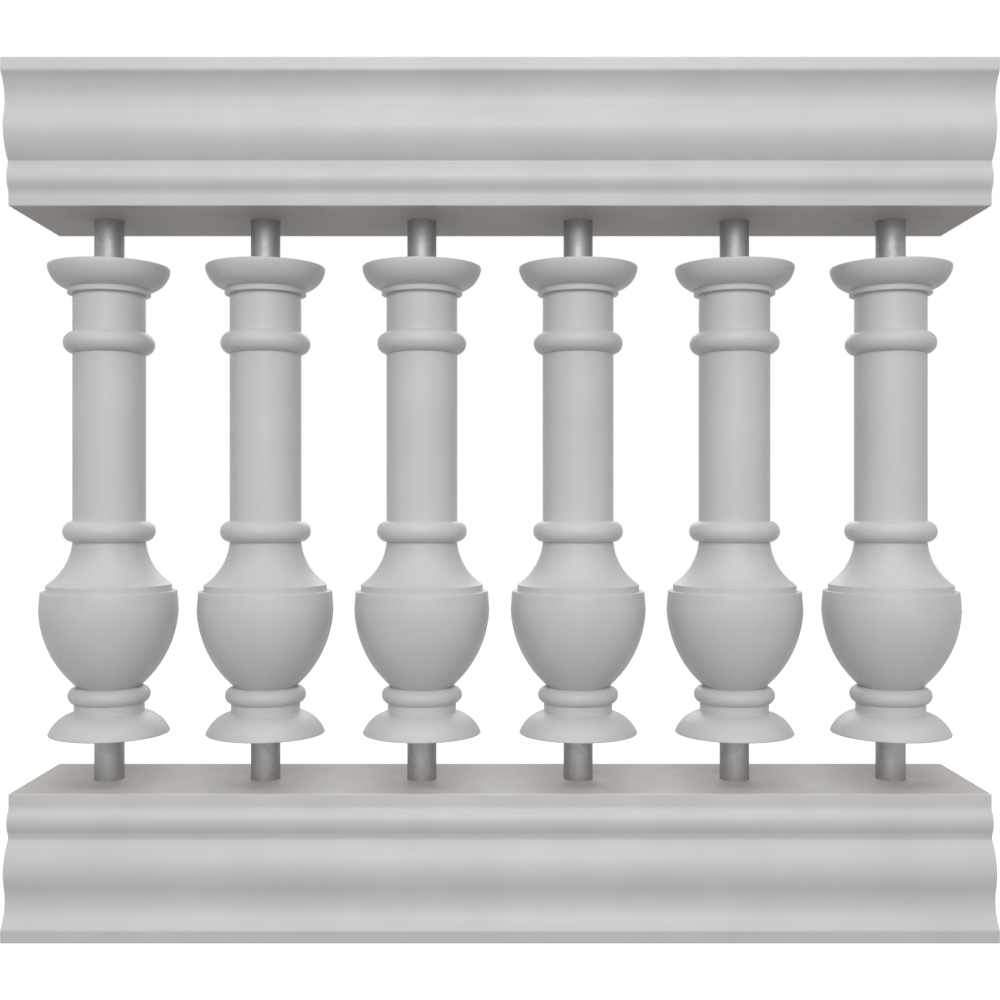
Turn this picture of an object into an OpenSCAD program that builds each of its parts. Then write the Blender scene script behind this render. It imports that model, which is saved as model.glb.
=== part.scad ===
// Fibreglass balustrade: one whole section of a run.
// A moulded bottom rail stands on the floor. Six turned balusters stand over it, each threaded on a steel tube
// whose ends show bare above and below the baluster, and the tubes carry a moulded top rail. Both rails are
// the same moulding, the bottom one turned over, and each is closed on its inner side by a flat plate with a
// round socket for every tube.
// Millimetres. The origin is on the floor under the middle of the section, +X runs along the rails, the front
// faces -Y and +Z is up.

/* [Section] */
// Clear gap between the bulbs of two neighbouring balusters
bulb_gap = 28.6; // [10:0.2:60]
// Distance from the side of the last bulb to the end of the rails
end_gap = 8.8; // [2:0.2:200]
// Bare tube that shows between a baluster and a rail
bare_l = 60; // [5:1:110]

/* [Rail moulding] */
// Height of a rail, from the flat plate to the broad crown face
rail_h = 176; // [170:1:220]
// Width of a rail across the narrow fillets, at the flat plate
fillet_w = 183; // [180:1:240]
// How far the crown band stands out past the narrow fillet
crown_out = 26; // [24:0.5:34]
// Height of the plain crown band
crown_h = 18; // [12:0.5:24]
// Thickness of the moulded fibreglass wall of a rail
rail_wall = 6; // [4:0.5:9]

/* [Rail plate] */
// Thickness of the flat plate that closes a rail
plate_t = 16; // [14:1:20]
// Gap between the plate and the rail's side walls, each side
plate_gap = 0.3; // [0.1:0.1:0.8]
// How far the ledge under the plate stands in from the wall
ledge_w = 10; // [6:1:16]
// Thickness of that ledge
ledge_t = 8; // [5:1:12]

/* [Baluster] */
// Height of a baluster
baluster_h = 610; // [560:1:700]
// Radius of the shaft, between the rings
shaft_r = 46.2; // [43:0.2:52]
// Radius of the capital's rim
capital_r = 77.4; // [74:0.2:88]
// Radius of the bulb at its widest
bulb_r = 88.2; // [84:0.2:92]
// Radius of the base's rim
base_r = 77; // [72:0.2:88]
// Thickness of the moulded fibreglass wall of a baluster
baluster_wall = 5; // [4:0.5:7]
// Thickness of the closed ends of a baluster
end_t = 14; // [10:1:20]

/* [Steel tube] */
// Outer diameter of the tube
tube_d = 38.1; // [33.4:0.1:42.4]
// Thickness of the tube's wall
tube_wall = 3; // [2:0.5:4]
// Depth of the sockets that the tube's ends stand in
socket_depth = 10; // [6:1:12]
// Gap all round a tube in a baluster's bore
bore_gap = 0.25; // [0.1:0.05:0.4]
// Gap all round a tube in a rail's socket
socket_gap = 0.4; // [0.1:0.05:0.4]

/* [Hidden] */
// Six balusters make the section.
baluster_count = 6;
NUMBERS = [1:baluster_count];
// Distance from one baluster to the next, and the length that both rails then have.
pitch = 2 * bulb_r + bulb_gap;
rail_l = (baluster_count - 1) * pitch + 2 * (bulb_r + end_gap);

// Widest angle that one straight side of a drawn arc spans, and the facets of a full round.
arc_step = 7.5;
round_fn = 96;
// Length by which a cut runs past the face that it opens.
past = 1;

fibreglass = "#cfcfcf";
plate_grey = "#b9b6b3";
steel = "#8e9092";

// Heights of the level faces, from the floor up.
deck_z = rail_h;
baluster_z = deck_z + bare_l;
soffit_z = baluster_z + baluster_h + bare_l;
top_z = soffit_z + rail_h;

tube_l = baluster_h + 2 * (bare_l + socket_depth);
tube_z = deck_z - socket_depth;

// Where baluster n stands along the rails.
function baluster_x(n) = (n - (baluster_count + 1) / 2) * pitch;

// ---- Outlines ----
// An outline is a list of stations [out, height, bulge], read downwards. Between two stations the outline is
// the arc whose middle stands off their chord by the lower station's bulge: away from the axis where it is
// positive, towards it where it is negative, and straight where it is 0.

// Points of the arc from a to b with bulge s, without a itself.
function arc(a, b, s) =
    s == 0 ? [b] :
    let (
        chord = norm(b - a),
        along = (b - a) / chord,
        across = [-along.y, along.x],
        r = (chord * chord / 4 + s * s) / (2 * s),
        centre = (a + b) / 2 + (s - r) * across,
        half = asin(chord / (2 * abs(r))),
        steps = max(2, ceil(2 * half / arc_step))
    )
    [for (i = [1:steps]) let (t = half * (2 * i / steps - 1))
        centre + r * cos(t) * across + abs(r) * sin(t) * along];

function flat(station) = [station[0], station[1]];

// All points of the outline, from its top station to its bottom one.
function outline(stations) = concat(
    [flat(stations[0])],
    [for (i = [1:len(stations) - 1])
        each arc(flat(stations[i - 1]), flat(stations[i]), stations[i][2])]
);

// The outline and its mirror image, closed into one shape.
module both_sides(stations) {
    right = outline(stations);
    left = [for (i = [len(right) - 1:-1:0]) [-right[i].x, right[i].y]];
    polygon(concat(right, left));
}

// ---- Rail ----
// The moulding as it lies in the bottom rail, with its plate side up: narrow fillet, bead, quirk, ovolo, a
// hollow that sweeps out, and the plain crown band. Heights of the members are set from the plate's face.
fillet_r = fillet_w / 2;
crown_r = fillet_r + crown_out;
moulding = [
    [fillet_r, rail_h, 0],
    [fillet_r, rail_h - 13.5, 0],
    [fillet_r + 2.8, rail_h - 22, -0.6],
    [fillet_r + 4.4, rail_h - 45, 3.3],
    [fillet_r + 1.5, rail_h - 55.5, -0.6],
    [fillet_r + 17.9, rail_h - 94, 3.9],
    [fillet_r + 14.5, rail_h - 113, 0.8],
    [crown_r - 1.5, crown_h, -6.6],
    [crown_r, crown_h - 4.5, 0.5],
    [crown_r, 2, 0],
    [crown_r - 2, 0, 0.6]
];

// Space inside the moulded wall, below the plate, with the two ledges that the plate seats on.
module rail_hollow() {
    inner_r = fillet_r - rail_wall;
    ledge_z = rail_h - plate_t;
    difference() {
        intersection() {
            offset(delta = -rail_wall) both_sides(moulding);
            translate([-crown_r, 0]) square([2 * crown_r, ledge_z]);
        }
        for (side = [-1, 1])
            scale([side, 1]) polygon([
                [inner_r - ledge_w, ledge_z + past],
                [inner_r - ledge_w, ledge_z - ledge_t],
                [inner_r + past, ledge_z - ledge_t - ledge_w - past],
                [crown_r, ledge_z - ledge_t - ledge_w - past],
                [crown_r, ledge_z + past]
            ]);
    }
}

// A rail as a hollow moulding, open at both ends and along its plate side.
module rail_shell() {
    plate_seat_w = fillet_w - 2 * rail_wall;
    rotate([90, 0, 90])
        linear_extrude(height = rail_l, center = true)
            difference() {
                both_sides(moulding);
                rail_hollow();
                translate([-plate_seat_w / 2, rail_h - plate_t]) square([plate_seat_w, plate_t + past]);
            }
}

// The flat plate of the bottom rail, flush with the fillets, with a socket for each tube.
module rail_plate() {
    plate_w = fillet_w - 2 * (rail_wall + plate_gap);
    difference() {
        translate([-rail_l / 2, -plate_w / 2, rail_h - plate_t]) cube([rail_l, plate_w, plate_t]);
        for (n = NUMBERS)
            translate([baluster_x(n), 0, rail_h - socket_depth])
                cylinder(r = tube_d / 2 + socket_gap, h = socket_depth + past, $fn = round_fn);
    }
}

// Turns a piece of the bottom rail over to make its twin in the top rail.
module turned_over() {
    translate([0, 0, top_z]) mirror([0, 0, 1]) children();
}

module bottom_rail() { color(fibreglass) rail_shell(); }
module bottom_rail_deck() { color(plate_grey) rail_plate(); }
module top_rail() { color(fibreglass) turned_over() rail_shell(); }
module top_rail_soffit() { color(plate_grey) turned_over() rail_plate(); }

// ---- Baluster ----
// The turned outline, from the top down. The lengths are those of its members, so a taller baluster only
// lengthens the shaft between the two rings.
capital_z = baluster_h;
ring_r = shaft_r + 6.5;
small_ring_r = shaft_r - 6.5;
low_neck_r = shaft_r - 1.5;
flare_r = bulb_r - 8.6;
turning = [
    [capital_r - 1, capital_z, 0],
    [capital_r, capital_z - 1, 0.3],
    [capital_r, capital_z - 3.5, 0],
    [ring_r, capital_z - 29.7, 5.5],
    [ring_r, capital_z - 36.7, 0],
    [shaft_r, capital_z - 36.7, 0],
    [shaft_r, capital_z - 86, 0],
    [shaft_r, capital_z - 114, 11.9],
    [shaft_r, 277.6, 0],
    [shaft_r, 250.2, 12.4],
    [flare_r - 0.6, 194.5, -7.4],
    [flare_r, 193.5, 0.2],
    [flare_r, 186, 0],
    [bulb_r - 1.9, 186, 0],
    [bulb_r, 161, 0.1],
    [small_ring_r, 60.8, 11.6],
    [low_neck_r, 39.6, 10.2],
    [low_neck_r, 27.8, 0],
    [base_r, 1, 5.5],
    [base_r - 1, 0, 0.3]
];

// A baluster as a moulded shell with closed ends, bored for the tube.
module baluster_body() {
    bore_r = tube_d / 2 + bore_gap;
    rotate_extrude($fn = round_fn)
        difference() {
            intersection() {
                both_sides(turning);
                translate([bore_r, 0]) square([bulb_r + past, baluster_h]);
            }
            intersection() {
                offset(delta = -baluster_wall) both_sides(turning);
                translate([0, end_t]) square([bulb_r, baluster_h - 2 * end_t]);
            }
        }
}

module baluster(n) {
    color(fibreglass) translate([baluster_x(n), 0, baluster_z]) baluster_body();
}

// ---- Steel tube ----
// It stands in the deck's socket, passes through the baluster and ends in the soffit's socket.
module tube(n) {
    color(steel)
        translate([baluster_x(n), 0, tube_z])
            difference() {
                cylinder(d = tube_d, h = tube_l, $fn = round_fn);
                translate([0, 0, -past])
                    cylinder(d = tube_d - 2 * tube_wall, h = tube_l + 2 * past, $fn = round_fn);
            }
}

bottom_rail();
bottom_rail_deck();
for (n = NUMBERS) {
    tube(n);
    baluster(n);
}
top_rail_soffit();
top_rail();
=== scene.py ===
# %% [markdown]
# # Fibreglass balustrade
# One section of a balustrade: two long moulded rails, six turned balusters between them, and a steel tube
# through every baluster. The construction model already fixes each size, so this lesson only gives the
# pieces their finished surfaces: crisp but eased arrises, real wall thickness, and the look of gelcoat,
# bare laminate and galvanised steel. Everything is in metres, with the rails along X and the front
# towards -Y.

import bpy
import numpy as np
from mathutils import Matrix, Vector


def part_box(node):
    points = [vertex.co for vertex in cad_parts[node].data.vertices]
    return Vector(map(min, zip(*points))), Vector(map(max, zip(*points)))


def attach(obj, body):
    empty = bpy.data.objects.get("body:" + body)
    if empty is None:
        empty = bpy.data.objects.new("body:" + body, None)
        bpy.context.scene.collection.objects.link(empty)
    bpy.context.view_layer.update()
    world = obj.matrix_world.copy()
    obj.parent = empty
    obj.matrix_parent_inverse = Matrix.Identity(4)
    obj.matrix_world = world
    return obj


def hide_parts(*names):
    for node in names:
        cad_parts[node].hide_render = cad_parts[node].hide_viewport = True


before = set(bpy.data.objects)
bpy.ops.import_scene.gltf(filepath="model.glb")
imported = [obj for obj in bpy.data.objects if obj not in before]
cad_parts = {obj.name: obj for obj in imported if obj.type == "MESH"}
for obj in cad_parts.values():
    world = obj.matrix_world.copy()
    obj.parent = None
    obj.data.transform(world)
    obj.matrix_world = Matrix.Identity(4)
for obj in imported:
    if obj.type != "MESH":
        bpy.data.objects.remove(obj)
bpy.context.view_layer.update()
MM = 0.001

# %% [markdown]
# ## Where things are
# Each construction piece tells its own place by its box. The balusters stand at equal steps along the rails,
# so reading the middle of each box gives their axes, and nothing has to be typed in twice.

# %% Read the places
NUMBERS = range(1, 7)


def middle_x(node):
    """Half way between the left and right side of a piece's box."""
    low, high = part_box(node)
    return (low.x + high.x) / 2


axis_x = [middle_x(f"baluster_{n}") for n in NUMBERS]
rail_low, rail_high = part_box("bottom_rail")
rail_height = rail_high.z - rail_low.z
top_of_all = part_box("top_rail")[1].z
print("baluster axes:", np.round(axis_x, 4), "rail height:", round(rail_height, 4))

# %% [markdown]
# ## Outlines
# A turner or a mould maker draws a moulding as a chain of members: fillets, beads, hollows and rounds. The
# same idea works here. An outline is a list of stations, each with a distance out from the middle, a height
# and a bulge, in millimetres, read downwards. Between two stations runs an arc that stands off its chord by
# the bulge. Arcs are drawn in fine steps, so that light rolls round them without showing facets.

# %% Stations of the two outlines
FILLET = 91.5
CROWN = FILLET + 26
TALL = rail_height / MM
RAIL = [
    (FILLET, TALL, 0), (FILLET, TALL - 13.5, 0), (FILLET + 2.8, TALL - 22, -0.6),
    (FILLET + 4.4, TALL - 45, 3.3), (FILLET + 1.5, TALL - 55.5, -0.6),
    (FILLET + 17.9, TALL - 94, 3.9), (FILLET + 14.5, TALL - 113, 0.8),
    (CROWN - 1.5, 18, -6.6), (CROWN, 13.5, 0.5), (CROWN, 2, 0), (CROWN - 2, 0, 0.6),
]
SHAFT = 46.2
BALUSTER = [
    (76.4, 610, 0), (77.4, 609, 0.3), (77.4, 606.5, 0), (SHAFT + 6.5, 580.3, 5.5),
    (SHAFT + 6.5, 573.3, 0), (SHAFT, 573.3, 0), (SHAFT, 524, 0), (SHAFT, 496, 11.9),
    (SHAFT, 277.6, 0), (SHAFT, 250.2, 12.4), (79.0, 194.5, -7.4), (79.6, 193.5, 0.2),
    (79.6, 186, 0), (86.3, 186, 0), (88.2, 161, 0.1), (SHAFT - 6.5, 60.8, 11.6),
    (SHAFT - 1.5, 39.6, 10.2), (SHAFT - 1.5, 27.8, 0), (77, 1, 5.5), (76, 0, 0.3),
]


def arc(start, end, bulge, step=4.0):
    """Points of the circular arc from start to end, without start. Its radius is
    (chord squared / 4 + bulge squared) / (2 bulge), and its points lie at equal angles, a step apart."""
    start, end = np.array(start, float), np.array(end, float)
    if bulge == 0:
        return end[None]
    chord = np.linalg.norm(end - start)
    along = (end - start) / chord
    across = np.array([-along[1], along[0]])
    radius = (chord ** 2 / 4 + bulge ** 2) / (2 * bulge)
    centre = (start + end) / 2 + (bulge - radius) * across
    half = np.arcsin(chord / (2 * abs(radius)))
    count = max(3, int(np.ceil(np.degrees(2 * half) / step)))
    turn = half * (2 * np.arange(1, count + 1) / count - 1)
    return centre + radius * np.cos(turn)[:, None] * across + abs(radius) * np.sin(turn)[:, None] * along


def outline(stations):
    """All points of an outline, from its top to its bottom, in millimetres."""
    points = [np.array([stations[0][:2]], float)]
    for before, after in zip(stations, stations[1:]):
        points.append(arc(before[:2], after[:2], after[2]))
    return np.concatenate(points)


print("outline points: rail", len(outline(RAIL)), "baluster", len(outline(BALUSTER)))

# %% [markdown]
# ## Walls and eased corners
# Both mouldings are hollow. Their inside is the outside pushed in by the wall's thickness, which is what a
# ball of that radius leaves when it rolls along the outside. A laid-up part also has no razor edges: the
# gelcoat rounds every outer corner a little. So each outer corner of a closed section is replaced by a short
# curve, while the quirks, where the outline turns inwards, stay crisp as the mould leaves them.

# %% Inner wall and easing


def inner_half_width(outer, heights, wall):
    """Half width of the hollow at each height: the least of outer(height + d) - sqrt(wall^2 - d^2) over all
    d within the wall's thickness."""
    d = np.linspace(-wall, wall, 41)
    near = heights[:, None] + d
    order = np.argsort(outer[:, 1], kind="stable")
    reach = np.interp(near, outer[order, 1], outer[order, 0])
    return (reach - np.sqrt(wall ** 2 - d ** 2)).min(1)


def eased(section, radius, sharp=24.0, steps=4):
    """The closed section with each outer corner sharper than that many degrees swapped for a curve:
    (1-t)^2 A + 2t(1-t) P + t^2 B, where P is the corner and A and B lie a radius away from it. An inner
    corner, where the outline turns against its own way round, stays a crisp crease."""
    before = np.roll(section, 1, axis=0) - section
    after = np.roll(section, -1, axis=0) - section
    x, y = section.T
    way_round = np.sign((x * np.roll(y, -1) - np.roll(x, -1) * y).sum())
    outer = way_round * (after[:, 0] * before[:, 1] - after[:, 1] * before[:, 0]) > 0
    long_a = np.linalg.norm(before, axis=1)
    long_b = np.linalg.norm(after, axis=1)
    before /= long_a[:, None]
    after /= long_b[:, None]
    turned = 180 - np.degrees(np.arccos(np.clip((before * after).sum(1), -1, 1)))
    cut = np.minimum(radius, 0.45 * np.minimum(long_a, long_b))
    a = section + before * cut[:, None]
    b = section + after * cut[:, None]
    t = np.linspace(0, 1, steps)[:, None, None]
    curve = (1 - t) ** 2 * a + 2 * t * (1 - t) * section + t ** 2 * b
    keep_one = np.broadcast_to(section, curve.shape)
    corner = (turned > sharp) & outer
    points = np.where(corner[None, :, None], curve, keep_one).transpose(1, 0, 2)
    wanted = corner[:, None] | (np.arange(steps) == 0)[None]
    return points[wanted]


# %% [markdown]
# ## Meshes from arrays
# Two helpers turn sections into surfaces. One spins a closed section round an upright axis, for balusters
# and tubes. The other carries a closed section along the rails. Both work on a grid with one row per step
# of the path and one column per point of the section, so the whole surface is a few array sums.

# %% Grid helpers


def wrapped_quads(rows, columns, close_rows):
    """Corner numbers of the faces between neighbouring rows and columns of a grid whose columns wrap round,
    and whose rows do too where close_rows is true."""
    r = np.arange(rows if close_rows else rows - 1)[:, None]
    c = np.arange(columns)[None]
    r2, c2 = (r + 1) % rows, (c + 1) % columns
    corners = [r * columns + c, r * columns + c2, r2 * columns + c2, r2 * columns + c]
    return np.stack(corners, -1).reshape(-1, 4)


def make_mesh(name, points, faces, sharp_angle=40):
    """A smooth-shaded object at the origin from its points and faces, sharp where two faces meet steeply."""
    mesh = bpy.data.meshes.new(name)
    mesh.from_pydata(points.tolist(), [], [list(map(int, f)) for f in faces])
    mesh.validate()
    mesh.shade_smooth()
    mesh.set_sharp_from_angle(angle=np.radians(sharp_angle))
    piece = bpy.data.objects.new(name, mesh)
    bpy.context.scene.collection.objects.link(piece)
    return piece


def spun(name, section, centre_x, base_z, angles, ridge=None):
    """The closed section (radius, height) in millimetres spun round an upright axis: x = r cos a,
    y = r sin a. ridge is what each point of the grid adds to its radius."""
    r, z = section[:, 0], section[:, 1]
    grown = np.broadcast_to(r, (len(angles), len(r))).copy()
    if ridge is not None:
        grown += ridge
    a = angles[:, None]
    x = centre_x + grown * np.cos(a) * MM
    y = grown * np.sin(a) * MM
    zz = np.broadcast_to(base_z + z * MM, grown.shape)
    points = np.stack([x, y, zz], -1).reshape(-1, 3)
    return make_mesh(name, points, wrapped_quads(len(angles), len(r), True))


# %% [markdown]
# ## Balusters
# A fibreglass baluster is laid up in a two-part mould and comes out as a thin turned shell with closed
# ends, bored for the tube. Where the halves of the mould meet, a hair-fine line stays on both sides after
# sanding. Here the shell is one closed section spun round its axis, and the line is a ridge a fraction of a
# millimetre high on the two sides that face the neighbours, rather than a painted mark.

# %% Make the balusters
WALL = 5.0
END = 14.0
BORE = 19.3


def baluster_section():
    """Outside from the top rim to the bottom rim, then the bottom end, the hollow and the top end."""
    outside = outline(BALUSTER)
    height = outside[0, 1]
    levels = np.linspace(END, height - END, 90)
    hollow = np.stack([inner_half_width(outside, levels, WALL), levels], 1)
    bottom = np.array([[BORE, 0.0], [BORE, END]])
    top = np.array([[BORE, height - END], [BORE, height]])
    return eased(np.concatenate([outside, bottom, hollow, top]), 0.9)


section = baluster_section()
SEAM_HEIGHT = 0.22
SEAM_HALF_WIDTH = 0.7
seam_angles = np.radians([-0.9, -0.45, 0, 0.45, 0.9])
plain_angles = np.radians(np.linspace(3.75, 176.25, 47))
half_turn = np.concatenate([seam_angles, plain_angles])
around = np.concatenate([half_turn, half_turn + np.pi])
from_seam = np.abs(np.degrees((around + np.pi / 2) % np.pi - np.pi / 2))
# Heights, and the least radius there that still belongs to the outside.
outside_from = ([0, 40, 195, 250, 571, 610], [60, 43, 76, 45, 45, 72])
on_outside = section[:, 0] > np.interp(section[:, 1], *outside_from)
seam = SEAM_HEIGHT * np.clip(1 - from_seam / SEAM_HALF_WIDTH, 0, 1)[:, None] * on_outside[None]

balusters = []
for n in NUMBERS:
    node = f"baluster_{n}"
    piece = spun(f"turned_baluster_{n}", section, axis_x[n - 1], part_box(node)[0].z, around, seam)
    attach(piece, "root")
    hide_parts(node)
    balusters.append(piece)
print("balusters:", len(balusters), "faces each:", len(balusters[0].data.polygons))

# %% [markdown]
# ## Steel tubes
# Plain galvanised tube, cut square and deburred. It is a ring section spun round its axis, with a small
# chamfer on each arris from the deburring tool. The weld of such a tube runs inside it as a low bead.

# %% Make the tubes
TUBE_OUT = 19.05
TUBE_IN = 16.05
WELD_AT = 90
WELD_SPREAD = 5
WELD_HEIGHT = 0.5


def tube_section(length):
    """A tall rectangle between the inner and outer radius, with eased corners."""
    levels = np.linspace(length, 0, 16)
    outside = np.stack([np.full(16, TUBE_OUT), levels], 1)
    inside = np.stack([np.full(16, TUBE_IN), levels[::-1]], 1)
    return eased(np.concatenate([outside, inside]), 0.5)


tube_angles = np.linspace(0, 2 * np.pi, 96, endpoint=False)
tubes = []
for n in NUMBERS:
    node = f"tube_{n}"
    low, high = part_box(node)
    ring = tube_section((high.z - low.z) / MM)
    weld = np.exp(-((np.degrees(tube_angles) - WELD_AT) / WELD_SPREAD) ** 2)[:, None]
    bead = -WELD_HEIGHT * weld * (ring[:, 0] < TUBE_IN + 0.1)[None]
    piece = spun(f"steel_tube_{n}", ring, middle_x(node), low.z, tube_angles, bead)
    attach(piece, "root")
    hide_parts(node)
    tubes.append(piece)
print("tubes:", len(tubes), "length:", round(high.z - low.z, 4))

# %% [markdown]
# ## Rails
# A rail is a long open channel pulled from one mould: smooth gelcoat outside, rough glass mat inside, and a
# small ledge along each wall for the flat plate. It is one closed section carried along X, and its ends are
# sawn square, so that one section can run on into the next. The top rail is the same moulding turned over.

# %% Make the rails
RAIL_WALL = 6.0
PLATE = 16.0
LEDGE_IN = FILLET - RAIL_WALL - 10


def rail_section():
    """The channel's closed section (out, height): down the right outside, up the left, then down and up the
    hollow between them. The hollow stops under the ledge, which slopes back to the wall at 45 degrees."""
    right = outline(RAIL)
    levels = np.linspace(TALL - PLATE - 8, RAIL_WALL, 76)
    slope = LEDGE_IN + (TALL - PLATE - 8) - levels
    wall = np.minimum(inner_half_width(right, levels, RAIL_WALL), slope)
    seat = FILLET - RAIL_WALL
    lip = np.array([[seat, TALL], [seat, TALL - PLATE], [LEDGE_IN, TALL - PLATE]])
    inner_right = np.concatenate([lip, np.stack([wall, levels], 1)])
    mirror = np.array([-1.0, 1.0])
    return np.concatenate([right, (right * mirror)[::-1], inner_right * mirror, inner_right[::-1]])


def cut_faces(mesh, columns):
    """Keeps the two cut ends flat in shading too: their faces aren't smooth and their rims are sharp."""
    count = len(mesh.polygons)
    mesh.polygons.foreach_set("use_smooth", np.arange(count) < count - 2)
    ends = np.empty(len(mesh.edges) * 2, np.int32)
    mesh.edges.foreach_get("vertices", ends)
    ends = ends.reshape(-1, 2)
    rim = (ends < columns).all(1) | (ends >= len(mesh.vertices) - columns).all(1)
    sharp = mesh.attributes.get("sharp_edge") or mesh.attributes.new("sharp_edge", "BOOLEAN", "EDGE")
    was = np.empty(len(mesh.edges), bool)
    sharp.data.foreach_get("value", was)
    sharp.data.foreach_set("value", was | rim)


def carried(name, section, ends, place):
    """The closed section carried along X from one end to the other, and closed by a flat saw cut at each."""
    x = np.linspace(ends[0], ends[1], 9)
    shape = (len(x), len(section))
    out = np.broadcast_to(section[:, 0] * MM, shape)
    height = np.broadcast_to(section[:, 1] * MM, shape)
    points = place(np.broadcast_to(x[:, None], shape), out, height).reshape(-1, 3)
    rows, columns = shape
    faces = [list(f) for f in wrapped_quads(rows, columns, False)]
    first = list(range(columns))
    faces += [first[::-1], [(rows - 1) * columns + c for c in first]]
    piece = make_mesh(name, points, faces)
    cut_faces(piece.data, columns)
    return piece


def upright(x, out, height):
    """The rail as it stands on the floor."""
    return np.stack([x, out, rail_low.z + height], -1)


def turned_over(x, out, height):
    """The rail with its crown up, half a turn about its length, so that no face turns inside out."""
    return np.stack([x, -out, top_of_all - height], -1)


def closed_outwards(piece):
    """Turns all faces outwards if the signed volume, the sum of a . (b x c) / 6, is below zero."""
    mesh = piece.data
    mesh.calc_loop_triangles()
    corners = np.empty(len(mesh.loop_triangles) * 3, np.int32)
    mesh.loop_triangles.foreach_get("vertices", corners)
    points = np.empty(len(mesh.vertices) * 3)
    mesh.vertices.foreach_get("co", points)
    a, b, c = points.reshape(-1, 3)[corners.reshape(-1, 3)].transpose(1, 0, 2)
    volume = (a * np.cross(b, c)).sum() / 6
    if volume < 0:
        mesh.flip_normals()
    return abs(volume)


channel = eased(rail_section(), 0.8)
rails = []
for name, node, place in (
    ("moulded_bottom_rail", "bottom_rail", upright),
    ("moulded_top_rail", "top_rail", turned_over),
):
    low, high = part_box(node)
    piece = carried(name, channel, (low.x, high.x), place)
    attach(piece, "root")
    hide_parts(node)
    rails.append(piece)
for piece in balusters + tubes + rails:
    litres = closed_outwards(piece) * 1000
    if piece.name[-1] not in "23456":
        print(piece.name, "holds", round(litres, 3), "litres of material")

# %% [markdown]
# ## Materials: tools
# Colours are written as sRGB hex, as on a paint card, and one function turns them to the linear values that
# the renderer adds up. One more function adds a node to a material with its settings and its links, so each
# recipe below reads as a list of steps.

# %% Colour and node helpers


def linear(code):
    """Linear colour of an sRGB hex value: c/12.92 below 0.04045, else ((c+0.055)/1.055)^2.4."""
    c = np.array([int(code[i:i + 2], 16) for i in (1, 3, 5)]) / 255
    c = np.where(c <= 0.04045, c / 12.92, ((c + 0.055) / 1.055) ** 2.4)
    return (*map(float, c), 1.0)


def add(material, kind, settings=None, **links):
    """Adds a node to a material or a world. settings are its own properties, or its sockets where the key is
    a socket's name; each link is socket=output, with _ for a space."""
    node = material.node_tree.nodes.new(kind)
    for key, value in (settings or {}).items():
        if hasattr(node, key):
            setattr(node, key, value)
        else:
            node.inputs[key].default_value = value
    for socket, source in links.items():
        name = socket.replace("_", " ")
        target = node.inputs[int(name[1:])] if name[1:].isdigit() else node.inputs[name]
        material.node_tree.links.new(source, target)
    return node


def surface(name, settings):
    """A new material with one Principled shader; returns the material and its shader."""
    material = bpy.data.materials.new(name)
    material.use_nodes = True
    shader = material.node_tree.nodes["Principled BSDF"]
    for key, value in settings.items():
        shader.inputs[key].default_value = value
    return material, shader


def blotches(material, scale_mm, dark, light, detail=3.0, seed=0.0):
    """Noise whose spots are about scale_mm across, as a blend of two colours and as a plain height."""
    place = add(material, "ShaderNodeTexCoord").outputs["Object"]
    spread = add(material, "ShaderNodeMapping", {"Location": (seed, seed, seed)}, Vector=place)
    noise = add(material, "ShaderNodeTexNoise", {"Scale": 1 / (scale_mm * MM), "Detail": detail},
                Vector=spread.outputs["Vector"])
    ramp = add(material, "ShaderNodeValToRGB", Fac=noise.outputs["Fac"])
    ramp.color_ramp.elements[0].position = 0.3
    ramp.color_ramp.elements[1].position = 0.7
    ramp.color_ramp.elements[0].color = dark
    ramp.color_ramp.elements[1].color = light
    return ramp.outputs["Color"], noise.outputs["Fac"]


def bumped(material, shader, height, depth_mm, strength=1.0, below=None):
    """Tilts the surface's shading by a height pattern that is depth_mm deep."""
    links = {"Height": height}
    if below is not None:
        links["Normal"] = below
    bump = add(material, "ShaderNodeBump", {"Strength": strength, "Distance": depth_mm * MM}, **links)
    material.node_tree.links.new(bump.outputs["Normal"], shader.inputs["Normal"])
    return bump.outputs["Normal"]


# %% [markdown]
# ## Gelcoat
# Gelcoat is the pigmented polyester skin that is brushed into the mould before the glass goes in. It comes
# out smooth and satin, pale grey here, with a very faint cloudiness in the pigment, a trace of orange peel
# and a slow waviness where the laminate behind it has shrunk.

# %% Gelcoat finish
gelcoat, shell = surface("satin_grey_gelcoat", {"IOR": 1.5, "Specular IOR Level": 0.4})
# Clouds in the pigment, about 90 mm across, a step or two lighter and darker than the grey.
clouds, _ = blotches(gelcoat, 90, linear("#cecece"), linear("#d5d5d5"), detail=4.0)
gelcoat.node_tree.links.new(clouds, shell.inputs["Base Color"])
# Sheen that varies a little where the skin was polished less.
_, polish = blotches(gelcoat, 35, linear("#000000"), linear("#ffffff"), seed=3.0)
rough = add(gelcoat, "ShaderNodeMapRange", {"To Min": 0.36, "To Max": 0.5}, Value=polish)
gelcoat.node_tree.links.new(rough.outputs["Result"], shell.inputs["Roughness"])
# Waves about 60 mm long and 0.15 mm deep, and orange peel 2 mm across and 0.02 mm deep.
_, waves = blotches(gelcoat, 60, linear("#000000"), linear("#ffffff"), detail=1.0, seed=7.0)
_, peel = blotches(gelcoat, 2.2, linear("#000000"), linear("#ffffff"), detail=1.0, seed=11.0)
wavy = bumped(gelcoat, shell, waves, 0.15, 0.5)
bumped(gelcoat, shell, peel, 0.02, 0.6, below=wavy)
print("gelcoat nodes:", len(gelcoat.node_tree.nodes))

# %% [markdown]
# ## Bare laminate
# The flat plates are cut from sheet laminate, and the inside of the rails is the back of the moulding. Both
# show chopped glass strands in resin: fine pale strands 20 to 30 mm long that lie every way, over a warm
# grey. The sheet is ground flat, so its strands only show as faint mottling; the inside is left rough.

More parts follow.
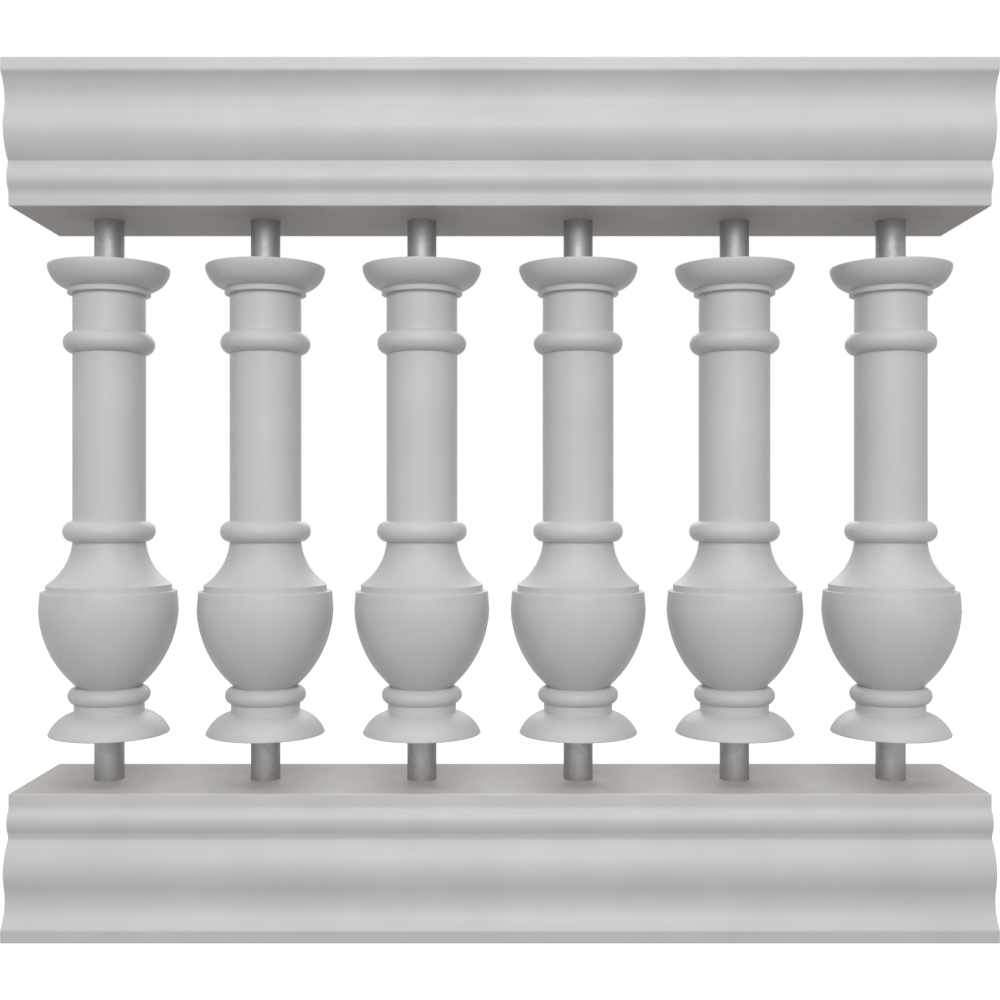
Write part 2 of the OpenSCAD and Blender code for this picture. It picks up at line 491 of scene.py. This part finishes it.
# %% Laminate finishes


def strands(material, width_mm, length_mm, turn, seed):
    """Fine streaks of one direction: noise squeezed to the strand's width and drawn out to its length."""
    place = add(material, "ShaderNodeTexCoord").outputs["Object"]
    spread = add(material, "ShaderNodeMapping",
                 {"Rotation": (turn, turn, turn), "Scale": (1, width_mm / length_mm, width_mm / length_mm),
                  "Location": (seed, 0, 0)}, Vector=place)
    noise = add(material, "ShaderNodeTexNoise", {"Scale": 1 / (width_mm * MM), "Detail": 1.0},
                Vector=spread.outputs["Vector"])
    return noise.outputs["Fac"]


def strand_mat(material, width_mm, length_mm):
    """The brightest of three sets of streaks that lie at different angles."""
    first, second, third = (strands(material, width_mm, length_mm, t, t * 5) for t in (0.3, 1.4, 2.5))
    pair = add(material, "ShaderNodeMath", {"operation": "MAXIMUM"}, _0=first, _1=second)
    trio = add(material, "ShaderNodeMath", {"operation": "MAXIMUM"}, _0=pair.outputs[0], _1=third)
    return trio.outputs[0]


def mixed(material, first, second, amount):
    """first and second blended: amount 0 gives first and 1 gives second."""
    mix = add(material, "ShaderNodeMix", {"data_type": "RGBA"})
    for socket, source in ((6, first), (7, second)):
        if isinstance(source, tuple):
            mix.inputs[socket].default_value = source
        else:
            material.node_tree.links.new(source, mix.inputs[socket])
    material.node_tree.links.new(amount, mix.inputs[0])
    return mix.outputs[2]


plate_finish, plate_shader = surface("ground_glass_laminate", {"Roughness": 0.62, "IOR": 1.52})
mottle, mottle_height = blotches(plate_finish, 30, linear("#bfbab6"), linear("#c8c3bf"), detail=5.0)
plate_strands = strand_mat(plate_finish, 1.2, 22)
faint = add(plate_finish, "ShaderNodeMapRange",
            {"From Min": 0.6, "From Max": 0.8, "To Min": 0.0, "To Max": 0.2}, Value=plate_strands)
plate_colour = mixed(plate_finish, mottle, linear("#d2cec8"), faint.outputs["Result"])
plate_finish.node_tree.links.new(plate_colour, plate_shader.inputs["Base Color"])
plate_normal = bumped(plate_finish, plate_shader, mottle_height, 0.1, 0.3)
bumped(plate_finish, plate_shader, plate_strands, 0.04, 0.2, below=plate_normal)

rough_finish, rough_shader = surface("rough_glass_mat", {"Roughness": 0.55, "IOR": 1.52})
resin, resin_height = blotches(rough_finish, 25, linear("#aea89b"), linear("#c9c3b5"), detail=5.0)
mat_strands = strand_mat(rough_finish, 1.0, 30)
bright = add(rough_finish, "ShaderNodeMapRange",
             {"From Min": 0.55, "From Max": 0.75, "To Min": 0.0, "To Max": 0.7}, Value=mat_strands)
mat_colour = mixed(rough_finish, resin, linear("#dcd7ca"), bright.outputs["Result"])
rough_finish.node_tree.links.new(mat_colour, rough_shader.inputs["Base Color"])
rough_normal = bumped(rough_finish, rough_shader, resin_height, 0.6, 0.5)
bumped(rough_finish, rough_shader, mat_strands, 0.25, 0.6, below=rough_normal)
print("laminate materials:", plate_finish.name, rough_finish.name)

# %% [markdown]
# ## Galvanised steel
# Zinc freezes on the tube in flat crystals a few millimetres across, the spangle, each with its own slight
# tone. Weather and handling dull it to a soft grey metal with broad, blurred highlights.

# %% Galvanised finish
steel, metal = surface("dull_galvanised_steel", {"Metallic": 0.85, "Specular Tint": linear("#c4c4c4")})
here = add(steel, "ShaderNodeTexCoord").outputs["Object"]
crystals = add(steel, "ShaderNodeTexVoronoi", {"Scale": 1 / (6 * MM)}, Vector=here)
tone = add(steel, "ShaderNodeSeparateColor", Color=crystals.outputs["Color"])
spangle = mixed(steel, linear("#a6a6a5"), linear("#afafae"), tone.outputs["Red"])
dulled, film = blotches(steel, 45, linear("#000000"), linear("#ffffff"), detail=5.0)
film_share = add(steel, "ShaderNodeMapRange", {"To Min": 0.0, "To Max": 0.35}, Value=film)
zinc = mixed(steel, spangle, linear("#a2a29f"), film_share.outputs["Result"])
steel.node_tree.links.new(zinc, metal.inputs["Base Color"])
blur = add(steel, "ShaderNodeMapRange", {"To Min": 0.5, "To Max": 0.56}, Value=tone.outputs["Green"])
steel.node_tree.links.new(blur.outputs["Result"], metal.inputs["Roughness"])
bumped(steel, metal, tone.outputs["Red"], 0.01, 0.3)
print("steel nodes:", len(steel.node_tree.nodes))

# %% [markdown]
# ## Give each piece its finish
# The balusters and tubes have one finish each. A rail has two: gelcoat on every face of its outer skin, and
# rough mat on the faces of its hollow and on its sawn ends. A face belongs to the hollow if its middle lies
# inside the outline by more than half the wall. The two plates are construction pieces that keep their own
# shape.

# %% Assign finishes
for piece in balusters + rails:
    piece.data.materials.append(gelcoat)
for piece in tubes:
    piece.data.materials.append(steel)
for node in ("bottom_rail_deck", "top_rail_soffit"):
    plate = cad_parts[node]
    plate.data.materials.clear()
    plate.data.materials.append(plate_finish)


# A face whose middle is this near the rail's end, in metres, is part of the saw cut.
SAW_CUT = 0.0008


def paint_hollow(piece, upside_down):
    """Gives the rough finish to the two saw cuts, and to faces whose middle is nearer the hollow than the
    outside."""
    mesh = piece.data
    mesh.materials.append(rough_finish)
    middles = np.empty(len(mesh.polygons) * 3)
    mesh.polygons.foreach_get("center", middles)
    middles = middles.reshape(-1, 3)
    height = (top_of_all - middles[:, 2] if upside_down else middles[:, 2] - rail_low.z) / MM
    outer = outline(RAIL)[::-1]
    edge = np.interp(height, outer[:, 1], outer[:, 0])
    inside = (np.abs(middles[:, 1]) / MM < edge - RAIL_WALL / 2) & (height > RAIL_WALL / 2)
    at_ends = np.abs(middles[:, 0]) > rail_high.x - SAW_CUT
    mesh.polygons.foreach_set("material_index", np.where(inside | at_ends, 1, 0).astype(np.int32))
    print(piece.name, "faces of the hollow:", int(inside.sum()))


paint_hollow(rails[0], False)
paint_hollow(rails[1], True)

# %% [markdown]
# ## Floor and backdrop
# The section stands on a plain pale floor that runs back without a visible edge. The floor looks white to
# the camera and in reflections, but still takes the soft shadow under the rail, because part of its
# brightness comes from the light that falls on it.

# %% Make the floor
FLOOR_HALF = 30.0
FLOOR_DROP = 0.0005
# What the lit paper lacks to read as white, in the middle of its light.
PAPER_LIFT = 0.875
floor_mesh = bpy.data.meshes.new("studio_floor")
corner = np.array([[-1, -1, 0], [1, -1, 0], [1, 1, 0], [-1, 1, 0]]) * FLOOR_HALF
floor_mesh.from_pydata((corner - [0, 0, FLOOR_DROP]).tolist(), [], [[0, 1, 2, 3]])
floor = bpy.data.objects.new("studio_floor", floor_mesh)
bpy.context.scene.collection.objects.link(floor)


def seen_directly(material):
    """1 for rays from the camera, from mirrors and through glass, and 0 for all other light."""
    path = add(material, "ShaderNodeLightPath")
    first = add(material, "ShaderNodeMath", {"operation": "MAXIMUM"},
                _0=path.outputs["Is Camera Ray"], _1=path.outputs["Is Glossy Ray"])
    return add(material, "ShaderNodeMath", {"operation": "MAXIMUM"},
               _0=first.outputs[0], _1=path.outputs["Is Transmission Ray"]).outputs[0]


paper, paper_shader = surface("white_studio_paper", {"Base Color": linear("#9e9e9e"), "Roughness": 0.9,
                                                     "Specular IOR Level": 0.0})
glow = add(paper, "ShaderNodeEmission", {"Color": (1, 1, 1, 1)})
lift = add(paper, "ShaderNodeMath", {"operation": "MULTIPLY"}, _0=seen_directly(paper))
lift.inputs[1].default_value = PAPER_LIFT
paper.node_tree.links.new(lift.outputs[0], glow.inputs["Strength"])
both = add(paper, "ShaderNodeAddShader", _0=paper_shader.outputs[0], _1=glow.outputs[0])
paper.node_tree.links.new(both.outputs[0], paper.node_tree.nodes["Material Output"].inputs["Surface"])
floor_mesh.materials.append(paper)

# %% [markdown]
# ## Light
# A large soft lamp over the camera gives the even front light of a catalogue page. A wider one overhead
# picks out the top faces, a weaker one behind keeps the back readable, and the pale world fills the rest.
# Their levels are set so that a colour comes out about as it is written on a face towards the front.

# %% World and lamps
world = bpy.data.worlds.new("pale_studio")
world.use_nodes = True
bpy.context.scene.world = world
back = world.node_tree.nodes["Background"]
back.inputs["Color"].default_value = (1, 1, 1, 1)
FILL = 0.37
level = add(world, "ShaderNodeMapRange", {"To Min": FILL, "To Max": 1.0}, Value=seen_directly(world))
world.node_tree.links.new(level.outputs["Result"], back.inputs["Strength"])
print("world fill:", FILL, "and 1 where it is seen directly")


def soft_lamp(name, place, target, width, depth, watts):
    """A rectangular lamp at place that faces target."""
    data = bpy.data.lights.new(name, "AREA")
    data.shape = "RECTANGLE"
    data.size = width
    data.size_y = depth
    data.energy = watts
    lamp = bpy.data.objects.new(name, data)
    lamp.location = place
    lamp.rotation_euler = (Vector(target) - Vector(place)).to_track_quat("-Z", "Y").to_euler()
    bpy.context.scene.collection.objects.link(lamp)


soft_lamp("front_softbox", (0, -3.2, 2.0), (0, 0, 0.6), 2.6, 1.6, 62)
soft_lamp("overhead_softbox", (0, -0.4, 3.4), (0, 0, 0.5), 3.0, 2.0, 30)
soft_lamp("rear_softbox", (0, 3.6, 2.2), (0, 0, 0.6), 2.6, 1.6, 30)
print("lamps: 3")

# %% [markdown]
# ## Camera
# The view is square on, level with the middle of the section, and just close enough that the rails fill its
# width from end to end. The lens is a mild long one: 45.4 mm on a 36 mm sensor.

# %% Set the camera
CAMERA_AWAY = 1.6536
scene = bpy.context.scene
camera_data = bpy.data.cameras.new("square_on_view")
camera_data.lens = 45.36
camera_data.sensor_width = 36
camera_data.clip_end = 100
camera = bpy.data.objects.new("square_on_view", camera_data)
camera.location = (0, -CAMERA_AWAY, top_of_all / 2)
camera.rotation_euler = (np.pi / 2, 0, 0)
scene.collection.objects.link(camera)
scene.camera = camera
scene.view_settings.view_transform = "Standard"
print("camera:", round(CAMERA_AWAY, 3), "m in front, lens", camera_data.lens, "mm")
